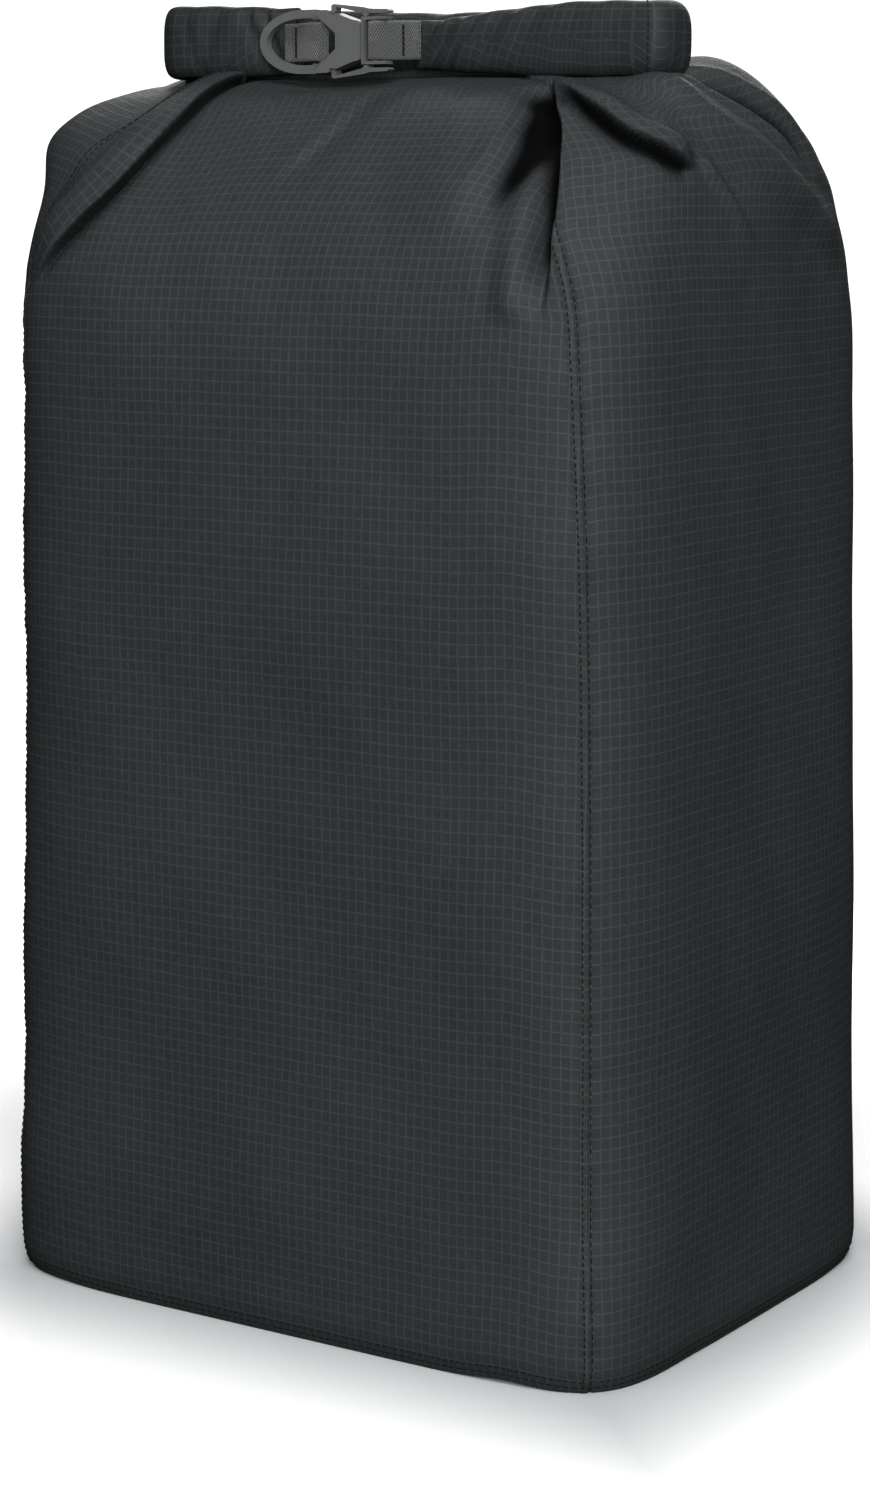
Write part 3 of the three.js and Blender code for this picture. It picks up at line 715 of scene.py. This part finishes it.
# ---------------------------------------------------------------- base
def base_object():
    """The base hangs from the foot of the walls and lies on the ground inside its edge."""
    foot = points[0]
    centre = foot.mean(axis=0)
    rings = []
    for share in (0, 0.006, 0.02, 0.05, 0.1, 0.18, 0.3, 0.45, 0.6, 0.75, 0.9, 0.995):
        loop = mix(foot, centre, share)
        loop[:, 2] = mix(foot[:, 2], 0.25, ramp(share, 0, 0.06))
        rings.append(loop)
    rings = np.array(rings)[::-1]
    quads = quad_rows(len(rings), COLUMNS, True)
    return quad_mesh("sack_base", rings, quads, rings.reshape(-1, 3)[quads.ravel()][:, :2])


base = paint(base_object(), RIPSTOP)
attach(base, "sack")
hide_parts("base_panel", "base_seam_tape")


# ---------------------------------------------------------------- seams: thread and tape
def line_beside(p, name, offset):
    """The line on the walls that runs offset millimetres round from a seam, and the normals on it."""
    off = seam_offset(p, name)
    n = grid_normals(p)
    line = np.zeros((ROWS, 3))
    out = np.zeros((ROWS, 3))
    for r in range(ROWS):
        order = np.argsort(off[r])
        for axis in range(3):
            line[r, axis] = np.interp(offset, off[r][order], p[r, order, axis])
            out[r, axis] = np.interp(offset, off[r][order], n[r, order, axis])
    sewn = line[:, 2] < STITCH_TOP.get(name, NECK_Z + 1)
    return line[sewn], unit(out[sewn])


def resample(line, out, pitch):
    """Points at an even pitch along a line, with its normals carried along."""
    at = np.concatenate([[0], np.cumsum(np.linalg.norm(np.diff(line, axis=0), axis=1))])
    where = np.linspace(0, at[-1], max(2, int(at[-1] / pitch) + 1))
    pick = lambda values: np.stack([np.interp(where, at, values[:, k]) for k in range(3)], axis=1)
    return pick(line), pick(out)


# A stitch: how far along it, how thick it is as a share and how high it stands.
STITCH = [(0.0, 0.25, -0.18), (0.12, 0.8, 0.02), (0.5, 1.0, 0.16), (0.88, 0.8, 0.02), (1.0, 0.25, -0.18)]
STITCH_ROUND = 6


def stitch_rows(name, rows, pitch, gap, width, sink=0.0):
    """Thread along lines: rows is a list of (line, normals). Each stitch is a small rounded bead that
    dives into the cloth at both ends."""
    around = STITCH_ROUND
    verts = []
    quads = []
    for line, out in rows:
        spots, lift = resample(line, out, pitch)
        for a, b, up in zip(spots[:-1], spots[1:], unit(lift[:-1])):
            run = b - a
            aside = unit(np.cross(run, up))
            start = len(verts)
            for share, size, rise in STITCH:
                centre = a + run * (gap / 2 + (1 - gap) * share) + up * (rise - sink)
                for k in range(around):
                    angle = 2 * math.pi * k / around
                    spoke = aside * math.cos(angle) + up * math.sin(angle) * 0.8
                    verts.append(centre + spoke * width * size / 2)
            for i in range(len(STITCH) - 1):
                low = start + i * around
                high = low + around
                for k in range(around):
                    m = (k + 1) % around
                    quads.append((low + k, low + m, high + m, high + k))
    thread = paint(quad_mesh(name, verts, quads), THREAD)
    return thread


joins = [line_beside(points, name, 0.0) for name in SEAMS]
tops = [line_beside(points, name, TOPSTITCH_SIDE[name] * SEAM_WIDTH_MM) for name in SEAMS]
FOOT_STITCH_Z = (1.2, 4.6)  # the base seam's join and its topstitching
foot_rows = [int(np.searchsorted(HEIGHTS, z)) for z in FOOT_STITCH_Z]
whole_row = lambda grid, r: np.vstack([grid[r], grid[r][:1]])
foot_lines = [(whole_row(points, r), whole_row(normals, r)) for r in foot_rows]
# The joins are sewn as nearly gapless dark thread. This is the seams' join stitching and also painted shadow
# in the groove beside it.
join_thread_and_painted_shadow = stitch_rows("seam_joins_and_painted_shadow", joins + foot_lines[:1], JOIN_STITCH_MM, 0.04, 0.75, sink=0.06)
top_thread = stitch_rows("seam_topstitching", tops + foot_lines[1:], STITCH_MM, 0.3, 0.62)
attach(join_thread_and_painted_shadow, "sack")
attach(top_thread, "sack")


def tape_material():
    n = Nodes("seam_tape", Specular_IOR_Level=0.5)
    cloudy = n.noise(n.coordinates(), 120.0, 3.0)
    return n.finish(n.blend(cloudy, rgb(58, 61, 62), rgb(84, 87, 88)), 0.35, n.bump(cloudy, 0.0004, 0.4))


TAPE = tape_material()
TAPE_HALF = 7.0
TAPE_INSET = 1.4
for name in SEAMS:
    lines = [line_beside(points, name, off) for off in np.linspace(-TAPE_HALF, TAPE_HALF, 9)]
    shortest = min(len(line) for line, _ in lines)
    sheet = np.stack([(line - out * TAPE_INSET)[:shortest] for line, out in lines], axis=1)
    tape = paint(quad_mesh(f"tape_{name}", sheet, quad_rows(shortest, len(lines), False)), TAPE)
    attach(tape, "sack")
    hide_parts(f"seam_tape_{name}")


# ---------------------------------------------------------------- the rolled mouth
ROLL_ROUND = 72
ROLL_STEP = 1.3
END_SLIM = 30.0  # the folded-in ends thin down over this length, as in the CAD
END_THIN = 0.42


def roll_stations():
    """Places along the roll's middle line: plan point, direction that faces out and distance along."""
    stations = []
    straight = np.arange(LEFT_END, -FOLD_X, -ROLL_STEP)
    stations += [(x, -LAYER_Y, -math.pi / 2) for x in straight]
    turns = np.linspace(-math.pi / 2, -3 * math.pi / 2, 40)
    stations += [(-FOLD_X + LAYER_Y * math.cos(t), LAYER_Y * math.sin(t), t) for t in turns]
    stations += [(x, LAYER_Y, math.pi / 2) for x in np.arange(-FOLD_X + ROLL_STEP, FOLD_X, ROLL_STEP)]
    turns = np.linspace(math.pi / 2, -math.pi / 2, 40)
    stations += [(FOLD_X + LAYER_Y * math.cos(t), LAYER_Y * math.sin(t), t) for t in turns]
    straight = np.arange(FOLD_X - ROLL_STEP, RIGHT_END, -ROLL_STEP)
    stations += [(x, -LAYER_Y, -math.pi / 2) for x in straight] + [(RIGHT_END, -LAYER_Y, -math.pi / 2)]
    return np.array(stations)


# Creases across the front of the roll: where each crosses its middle height, how far it leans with height,
# its width and its depth. They fan out from the two sewn ends.
CREASES = [(15, 0.8, 2.4, 1.5), (24, 0.85, 2.6, 1.1), (34, 0.8, 3.0, 1.3), (47, 0.95, 3.2, 0.8)]
CREASES += [(62, 0.8, 4.0, 0.7), (80, 0.5, 5.0, 0.35), (-64, -0.4, 2.2, 1.5), (-72, -0.45, 2.8, 1.1)]
CREASES += [(-82, 0.5, 3.0, 0.6), (-96, 0.3, 4.0, 0.7), (-106, -0.3, 3.0, 0.5)]
ROLL_FULLNESS = 0.62  # power of the roll's section: 1 is an ellipse, lower is squarer
TILT = -0.014


def roll_grid():
    """Points of the roll, stations by places round it, and how far along each is."""
    stations = roll_stations()
    x, y, turn = stations.T
    angle = 2 * math.pi * np.arange(ROLL_ROUND) / ROLL_ROUND
    c, s = np.cos(angle), np.sin(angle)
    out = np.sign(c) * np.abs(c) ** ROLL_FULLNESS
    up = np.sign(s) * np.abs(s) ** ROLL_FULLNESS
    front = np.sin(turn) < 0
    to_end = np.where(front, np.where(x < 0, LEFT_END - x, x - RIGHT_END), 99.0)
    slim = ramp(to_end, 0, END_SLIM)
    half_thick = ROLL_THICK / 2 * mix(END_THIN, 1, slim)
    # The pull of the buckle makes the whole roll narrower in the middle, and most at the right wing.
    waist = bell((x - 6) / 62)
    top = ROLL_HEIGHT / 2 - 3.6 * waist - np.where(front & (x > 0), 3.8 * (1 - ramp(x, 8, 84)), 0)
    bottom = ROLL_HEIGHT / 2 - 2.6 * waist - np.where(front, 1.2 * (1 - slim), 0)
    thick = half_thick[:, None] * out[None, :]
    rise = np.where(up > 0, top[:, None] * up, bottom[:, None] * up)
    # The right fold is pressed square; the left one is round.
    squared = (np.abs(np.cos(turn)) ** 5 + np.abs(np.sin(turn)) ** 5) ** (-1 / 5) - 1
    squared = np.where(front & (x > FOLD_X), squared, 0)[:, None]
    outer = LAYER_Y + ROLL_THICK / 2
    thick = thick + squared * outer * ((LAYER_Y + thick) / outer) ** 2
    # Creases and slow crumples.
    middle = np.where(front, x, 400)[:, None]
    facing = ramp(out, -0.1, 0.8)[None, :]
    for place, slope, width, depth in CREASES:
        q = (middle - place - slope * rise) / width
        thick = thick - depth * (bell(q) - 0.55 * bell(q - 1.7)) * facing
    wave = np.zeros(rise.shape)
    along = np.concatenate([[0], np.cumsum(np.hypot(np.diff(x), np.diff(y)))])[:, None]
    for _ in range(16):
        k = rng.uniform(0.05, 0.34)
        m = rng.integers(1, 5)
        amount = rng.uniform(0.06, 0.17)
        wave += amount * np.sin(k * along + m * angle[None, :] + rng.uniform(0, 6.3))
    thick = thick + wave * np.sign(out) * np.abs(out)
    rise = rise + 0.8 * wave * up + TILT * x[:, None]
    px = x[:, None] + thick * np.cos(turn)[:, None] + ROLL_X
    py = y[:, None] + thick * np.sin(turn)[:, None] + ROLL_Y
    return np.stack([px, py, ROLL_Z + rise], axis=-1), along


# Rows that close an end of the roll: how far in from its edge, and how deep into the roll.
END_ROWS = [(0.10, -0.35), (0.30, -0.2), (0.42, 0.9), (0.55, 1.0), (0.68, 0.3), (0.8, 1.4), (0.98, 1.6)]


def close_end(grid):
    """Rows that turn the roll's open first end in, so that it shows a folded end and not an edge."""
    edge = grid[0]
    centre = edge.mean(axis=0)
    inward = unit((grid[3] - edge).mean(axis=0))
    return np.array([mix(edge, centre, share) + inward * depth for share, depth in END_ROWS])


def shear_uv(grid, along):
    """Fabric coordinates on the roll. On the right wing the cloth is twisted, so its lines run aslant."""
    rows = len(grid)
    around = np.linalg.norm(np.roll(grid, -1, axis=1) - grid, axis=2)
    v = np.concatenate([np.zeros((rows, 1)), np.cumsum(around, axis=1)], axis=1)
    u = np.repeat(along, ROLL_ROUND + 1, axis=1)
    x = np.repeat(grid[:, :1, 0], ROLL_ROUND + 1, axis=1) - ROLL_X
    front = np.repeat((grid.mean(axis=1)[:, 1] < ROLL_Y)[:, None], ROLL_ROUND + 1, axis=1)
    twist = np.where(front & (x > 0), 0.42 * (1 - ramp(x, 60, 112)), 0)
    u = u + twist * v
    return quad_corners(np.stack([u, v], axis=-1))


roll_points, roll_along = roll_grid()
start_cap = close_end(roll_points)[::-1]
end_cap = close_end(roll_points[::-1])
capped = np.concatenate([start_cap, roll_points, end_cap])
steps = np.arange(1, len(start_cap) + 1)[:, None] * 1.0
capped_along = np.concatenate([roll_along[0] - steps[::-1], roll_along, roll_along[-1] + steps])
roll_quads = quad_rows(len(capped), ROLL_ROUND, True)
roll = quad_mesh("rolled_mouth", capped, roll_quads, shear_uv(capped, capped_along))
paint(roll, RIPSTOP_ROLLED)

# A row of stitching across the right end, where the hem is sewn shut.
HEM_X = ROLL_X + FOLD_X + 12.0
roll_front = roll_points.mean(axis=1)[:, 1] < ROLL_Y + 2
hem_station = np.nonzero(roll_front & (np.abs(roll_points[:, 0, 0] - HEM_X) < 1.6))[0][-1]
hem_ring = roll_points[hem_station]
hem = hem_ring[np.arange(-ROLL_ROUND // 4 - 1, ROLL_ROUND // 4 + 2)]
roll_thread = stitch_rows("roll_stitching", [(hem, unit(hem - hem_ring.mean(axis=0)))], 2.6, 0.22, 0.6)
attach(roll_thread, "right_end")
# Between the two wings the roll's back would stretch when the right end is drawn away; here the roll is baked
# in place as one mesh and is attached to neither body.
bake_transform(roll)
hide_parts("roll_back", "roll_fold_left", "roll_end_left", "roll_fold_right", "roll_end_right")


# ---------------------------------------------------------------- webbing
def webbing_material():
    """Herringbone: slanting ribs that meet in a chevron down the middle of the strap."""
    n = Nodes("webbing", Sheen_Weight=0.25, Sheen_Roughness=0.5, Specular_IOR_Level=0.3)
    u, v, _ = n.split(n.uv())
    off = n.math("ABSOLUTE", v)
    rib_at = n.math("ADD", u, n.math("MULTIPLY", off, 0.62))
    rib = n.remap(n.wave(rib_at, 1.15 * MM), -0.8, 0.7)
    pick = n.wave(v, 0.62 * MM)
    edge = n.remap(off, 6.9 * MM, 7.5 * MM)
    fuzz = n.noise(n.coordinates(), 1800.0, 2.0)
    shade = n.math("ADD", n.math("MULTIPLY", rib, 0.72), n.math("MULTIPLY", fuzz, 0.28))
    shade = n.math("ADD", shade, n.math("MULTIPLY", edge, 0.1))
    colour = n.blend(shade, rgb(11, 13, 14), rgb(66, 68, 68))
    height = n.math("ADD", rib, n.math("MULTIPLY", pick, 0.22))
    return n.finish(colour, 0.66, n.bump(height, 0.00035, 0.9))


WEBBING_WIDTH = 16.0
WEBBING_THICK = 1.3


SELVEDGE = 0.35  # the strap's edges are rounded over this width


def strap(name, route, node, body):
    """A doubled strap: route is its middle line in plan, from the roll's middle, in millimetres."""
    path = Path([(x + ROLL_X, y + ROLL_Y, ROLL_Z) for x, y in route], steps=150)
    out = unit(np.cross(path.tangent, (0.0, 0.0, 1.0)))
    half_w = WEBBING_WIDTH / 2
    half_t = WEBBING_THICK / 2
    # The section: flat faces and rounded selvedges.
    flat = np.linspace(-1, 1, 15) * (half_w - SELVEDGE)
    width = np.concatenate([flat, [half_w], -flat, [-half_w]])
    thick = np.concatenate([np.full(15, half_t), [0.0], np.full(15, -half_t), [0.0]])
    grid = path.line[:, None] + out[:, None] * thick[None, :, None]
    grid[..., 2] += width
    # Both ends are pinched shut.
    ends = []
    for row in (0, -1):
        centre = grid[row].mean(axis=0)
        ends.append(centre + (grid[row] - centre) * np.array([0.05, 0.05, 1.0]))
    grid = np.concatenate([ends[0][None], grid, ends[1][None]])
    along = np.concatenate([[path.at[0]], path.at, [path.at[-1]]])
    around = np.append(width, width[0])
    fabric = np.stack(np.broadcast_arrays(along[:, None], around[None, :]), axis=-1)
    quads = quad_rows(len(grid), len(width), True)
    obj = paint(quad_mesh(name, grid, quads, quad_corners(fabric)), WEBBING)
    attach(obj, body)
    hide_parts(node)


def bar_loop(bar, radius, start, turn):
    """Plan points round a buckle's bar, from one angle through a turn, in degrees."""
    angles = np.radians(np.linspace(start, start + turn, 9))
    return [(bar[0] + radius * math.cos(a), bar[1] + radius * math.sin(a)) for a in angles]


WEBBING = webbing_material()
BUCKLE_Y = (plate_low[1] + plate_high[1]) / 2 - ROLL_Y
LEFT_BAR = (-35.2, BUCKLE_Y)
RIGHT_BAR = (-7.6, BUCKLE_Y)
WING_FRONT = -LAYER_Y - END_THIN * ROLL_THICK / 2 - WEBBING_THICK / 2 - 0.35

left_route = [(LEFT_END - 3.6, WING_FRONT - 0.25), (LEFT_END, WING_FRONT)]
left_route += [(-49.5, -16.2), (-44.5, -18.6), (-40, -20.9)]
left_route += bar_loop(LEFT_BAR, 2.35, -105, 210)
left_route += [(-40, -18.6), (-44.5, -17.0), (-49.5, -14.7), (LEFT_END + 1.2, -12.9)]
strap("webbing_left_strap", left_route, "webbing_left", "sack")
right_route = [(RIGHT_END + 3.4, WING_FRONT - 0.25), (RIGHT_END, WING_FRONT)]
right_route += [(3.6, -16.6), (-0.6, -19.3), (-4.2, -21.4)]
right_route += bar_loop(RIGHT_BAR, 2.45, -75, -210)
right_route += [(-4.2, -18.0), (-0.6, -17.2), (3.6, -14.9), (RIGHT_END - 1.4, -12.9)]
strap("webbing_right_strap", right_route, "webbing_right", "right_end")


TACK_POINTS = 40


def bar_tack(name, x, y, node, body):
    """Close zigzag stitches across a strap."""
    reach = WEBBING_WIDTH / 2 - 1.6
    heights = ROLL_Z + np.linspace(-reach, reach, TACK_POINTS)
    sway = 0.22 * (-1) ** np.arange(TACK_POINTS)
    depth = np.full(TACK_POINTS, ROLL_Y + y - 0.06)
    forward = np.tile([0.0, -1.0, 0.0], (TACK_POINTS, 1))
    rows = []
    for step in (-0.45, 0.0, 0.45):
        rows.append((np.stack([ROLL_X + x + step + sway, depth, heights], axis=1), forward))
    obj = stitch_rows(name, rows, 0.85, 0.05, 0.42)
    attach(obj, body)
    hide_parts(node)


bar_tack("bar_tack_left_thread", -50.6, -16.45, "bar_tack_left", "sack")
bar_tack("bar_tack_right_thread", 4.6, -16.8, "bar_tack_right", "right_end")


# ---------------------------------------------------------------- buckle
def plastic_material():
    n = Nodes("buckle_plastic", Specular_IOR_Level=0.45, Coat_Weight=0.08, Coat_Roughness=0.35)
    grain = n.noise(n.coordinates(), 2600.0, 3.0)
    cloud = n.noise(n.coordinates(), 160.0, 3.0)
    # The colour is lighter on sharp convex edges.
    lighter_edges = n.remap(n.new("ShaderNodeNewGeometry").outputs["Pointiness"], 0.5, 0.58)
    colour = n.blend(cloud, rgb(50, 51, 51), rgb(62, 63, 63))
    colour = n.blend(n.math("MULTIPLY", lighter_edges, 0.35), colour, rgb(92, 93, 93))
    rough = n.remap(cloud, 0.2, 0.8, 0.42, 0.56, "LINEAR")
    return n.finish(colour, rough, n.bump(grain, 0.00005, 0.5))


def strip_material():
    n = Nodes("stiffener", Specular_IOR_Level=0.3)
    smear = n.noise(n.coordinates(), 300.0, 2.0)
    return n.finish(n.blend(smear, rgb(30, 31, 32), rgb(42, 43, 44)), 0.6, n.bump(smear, 0.0002, 0.4))


PLASTIC = plastic_material()
for node in ("female_buckle", "male_buckle", "lever_upper", "lever_lower"):
    obj = paint(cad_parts[node], PLASTIC)
    bevel = obj.modifiers.new("soft_edges", "BEVEL")
    bevel.width = 0.55 * MM
    bevel.segments = 3
    bevel.limit_method = "ANGLE"
    bevel.angle_limit = math.radians(32)
    bevel.harden_normals = False
    normals_fix = obj.modifiers.new("even_shading", "WEIGHTED_NORMAL")
    normals_fix.keep_sharp = False
STRIP = strip_material()
for node in ("mouth_strip_left", "mouth_strip_right"):
    paint(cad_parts[node], STRIP)


# ---------------------------------------------------------------- floor, light and camera
FLOOR_RADIUS = 0.85
FLOOR_MIDDLE = (0.05, -0.05, 0)


def stage_floor():
    """A pale disc, lit nearly to white, that glows white towards its edge to fade into the white
    surroundings, and has a painted shadow round the sack's foot.
    """
    bpy.ops.mesh.primitive_circle_add(
        vertices=96, radius=FLOOR_RADIUS, fill_type="NGON", location=FLOOR_MIDDLE
    )
    floor = bpy.context.object
    floor.name = "floor"
    n = Nodes("pale_floor_painted_shadow", Specular_IOR_Level=0.0, Emission_Color=(1, 1, 1, 1))
    place = n.coordinates()
    radius = n.new("ShaderNodeVectorMath", {0: place}, operation="LENGTH").outputs["Value"]
    n.put(n.remap(radius, 0.34, 0.72), n.shader.inputs["Emission Strength"])
    grain = n.noise(place, 3.0, 2.0)
    # Painted shadow: the floor's colour is darker close to the foot, where the sack shuts out the pale
    # surroundings.
    x, y, _ = n.split(place)
    beyond_x = n.math("SUBTRACT", n.math("ABSOLUTE", n.math("ADD", x, FLOOR_MIDDLE[0])), 0.140)
    beyond_y = n.math("SUBTRACT", n.math("ABSOLUTE", n.math("ADD", y, FLOOR_MIDDLE[1])), 0.105)
    clear = n.remap(n.math("MAXIMUM", beyond_x, beyond_y), 0.0, 0.115)
    pale = n.blend(grain, (0.82, 0.82, 0.82, 1), (0.85, 0.85, 0.85, 1))
    paint(floor, n.finish(n.blend(clear, (0.36, 0.37, 0.38, 1), pale), 0.9))
    # The sack stands in dim surroundings: it doesn't see the bright floor, which only takes its shadow.
    floor.visible_diffuse = False
    floor.visible_glossy = False


def way_to(azimuth, elevation):
    """The direction of something seen at an azimuth (0 is in front) and an elevation, in degrees."""
    a = math.radians(azimuth)
    e = math.radians(elevation)
    return Vector((math.sin(a) * math.cos(e), -math.cos(a) * math.cos(e), math.sin(e)))


def soft_light(name, azimuth, elevation, distance, size, power):
    """A square soft light that shines on the sack's middle."""
    direction = way_to(azimuth, elevation)
    light = bpy.data.lights.new(name, "AREA")
    light.shape = "SQUARE"
    light.size = size
    light.energy = power
    obj = bpy.data.objects.new(name, light)
    obj.location = LIT_POINT + direction * distance
    obj.rotation_euler = direction.to_track_quat("Z", "Y").to_euler()
    bpy.context.collection.objects.link(obj)


def world_light():
    """White to look at, and a dim even light on the sack."""
    world = bpy.data.worlds.new("studio")
    bpy.context.scene.world = world
    world.use_nodes = True
    tree = world.node_tree
    background = tree.nodes["Background"]
    path = tree.nodes.new("ShaderNodeLightPath")
    strength = tree.nodes.new("ShaderNodeMapRange")
    strength.inputs["To Min"].default_value = 0.05
    strength.inputs["To Max"].default_value = 1.3
    tree.links.new(path.outputs["Is Camera Ray"], strength.inputs["Value"])
    tree.links.new(strength.outputs[0], background.inputs["Strength"])
    background.inputs["Color"].default_value = (1, 1, 1, 1)


CAMERA = {"azimuth": 33.4, "elevation": 9.8, "distance": 1.4615, "side": -0.0027, "height": 0.2305}
LENS = 80.0


def add_camera():
    back = way_to(CAMERA["azimuth"], CAMERA["elevation"])
    right = way_to(CAMERA["azimuth"] + 90, 0)
    camera = bpy.data.cameras.new("camera")
    camera.lens = LENS
    camera.sensor_width = 36
    camera.clip_end = 50
    obj = bpy.data.objects.new("camera", camera)
    middle = Vector((0, 0, CAMERA["height"]))
    obj.location = middle + right * CAMERA["side"] + back * CAMERA["distance"]
    obj.rotation_euler = back.to_track_quat("Z", "Y").to_euler()
    bpy.context.collection.objects.link(obj)
    bpy.context.scene.camera = obj


# Each light's azimuth, elevation, distance, size and power.
LIGHTS = {
    "key": (43, 45, 2.2, 1.3, 44),
    "low_fill": (34, 12, 2.4, 1.0, 64),
    "left_fill": (-20, 35, 2.3, 1.2, 2),
    "right_fill": (92, 28, 2.3, 1.3, 6.5),
    "steep_front": (5, 70, 2.3, 1.4, 18),
    "behind": (205, 32, 2.4, 1.6, 42),
}
LIT_POINT = Vector((0, 0, 0.27))

stage_floor()
for name, settings in LIGHTS.items():
    soft_light(name, *settings)
world_light()
add_camera()
bpy.context.scene.view_settings.view_transform = "Standard"
